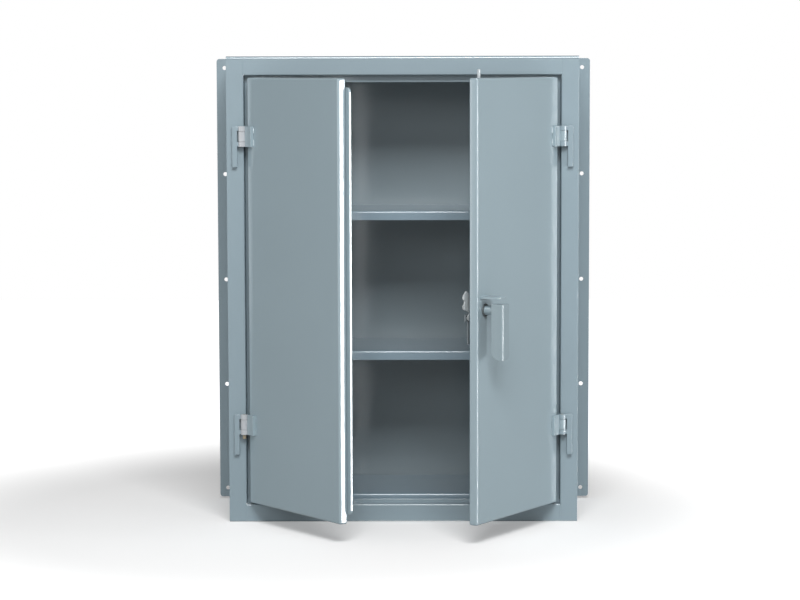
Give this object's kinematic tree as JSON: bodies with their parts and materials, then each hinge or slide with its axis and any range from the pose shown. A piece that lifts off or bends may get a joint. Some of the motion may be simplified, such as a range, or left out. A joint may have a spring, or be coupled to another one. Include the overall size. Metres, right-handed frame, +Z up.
{
  "type": "wall mounted tool cabinet",
  "caption": "Wall mounted steel tool cabinet with hinged doors, shelves and a rod latch worked by one handle, shown with the doors ajar.",
  "frame": {"origin": "centre of the underside of the bottom panel", "axes": "+Z up, -Y out of the front, +X to the right for someone who faces the front"},
  "size_m": [1.0184, 0.7251, 1.2192],
  "materials": {
    "case_paint": "satin grey-blue enamel",
    "inner_paint": "satin grey-blue enamel",
    "door_paint": "satin grey-blue enamel",
    "bare_steel": "bare steel, dull"
  },
  "bodies": {
    "case": {"side_panel_left": "inner_paint", "side_panel_right": "inner_paint", "back_panel": "inner_paint", "top_panel": "case_paint", "bottom_panel": "case_paint", "floor_pan": "inner_paint", "stile_left": "case_paint", "stile_right": "case_paint", "header": "case_paint", "sill": "case_paint", "header_stop": "case_paint", "sill_stop": "case_paint", "side_stop_left": "case_paint", "side_stop_right": "case_paint", "wall_flange_left": "case_paint", "wall_flange_right": "case_paint", "shelf_standards_left": "inner_paint", "shelf_standards_right": "inner_paint", "shelf_clips": "bare_steel", "shelf_upper": "inner_paint", "shelf_lower": "inner_paint", "hinge_frame_left_top": "case_paint", "hinge_frame_left_bottom": "case_paint", "hinge_frame_right_top": "case_paint", "hinge_frame_right_bottom": "case_paint", "hinge_pins_left": "bare_steel", "hinge_pins_right": "bare_steel"},
    "left_door": {"left_door_panel": "door_paint", "left_door_stiffener": "door_paint", "astragal": "door_paint", "left_leaf_top": "door_paint", "left_leaf_bottom": "door_paint"},
    "right_door": {"right_door_panel": "door_paint", "right_door_stiffener": "door_paint", "latch_channel": "door_paint", "right_leaf_top": "door_paint", "right_leaf_bottom": "door_paint", "lock_bearing": "bare_steel", "padlock_tab": "door_paint", "rod_guides": "bare_steel"},
    "handle": {"handle_lever": "door_paint", "spindle": "bare_steel", "latch_cam": "bare_steel", "crank_pins": "bare_steel", "spindle_washer": "bare_steel", "spindle_nut": "bare_steel"},
    "upper_rod": {"upper_rod": "bare_steel"},
    "lower_rod": {"lower_rod": "bare_steel"}
  },
  "joints": [
    {"name": "left_door_hinge", "type": "hinge", "parent": "case", "child": "left_door", "pos_m": [-0.4155, -0.1888, 0.635], "axis": [0, 0, -1], "range_deg": [-52.8, 122.2]},
    {"name": "right_door_hinge", "type": "hinge", "parent": "case", "child": "right_door", "pos_m": [0.4155, -0.1888, 0.635], "axis": [0, 0, 1], "range_deg": [-57.8, 117.2]},
    {"name": "handle_turn", "type": "hinge", "parent": "right_door", "child": "handle", "pos_m": [0.20596, -0.50089, 0.59], "axis": [-0.8462, 0.5329, 0], "range_deg": [0, 90]},
    {"name": "upper_rod_slide", "type": "slide", "parent": "right_door", "child": "upper_rod", "axis": [0, 0, -1], "range_m": [0, 0.038]},
    {"name": "lower_rod_slide", "type": "slide", "parent": "right_door", "child": "lower_rod", "axis": [0, 0, 1], "range_m": [0, 0.038]}
  ],
  "couplings": [
    {"joint": "upper_rod_slide", "follows": "handle_turn", "m_per_rad": 0.024192},
    {"joint": "lower_rod_slide", "follows": "handle_turn", "m_per_rad": 0.024192}
  ]
}
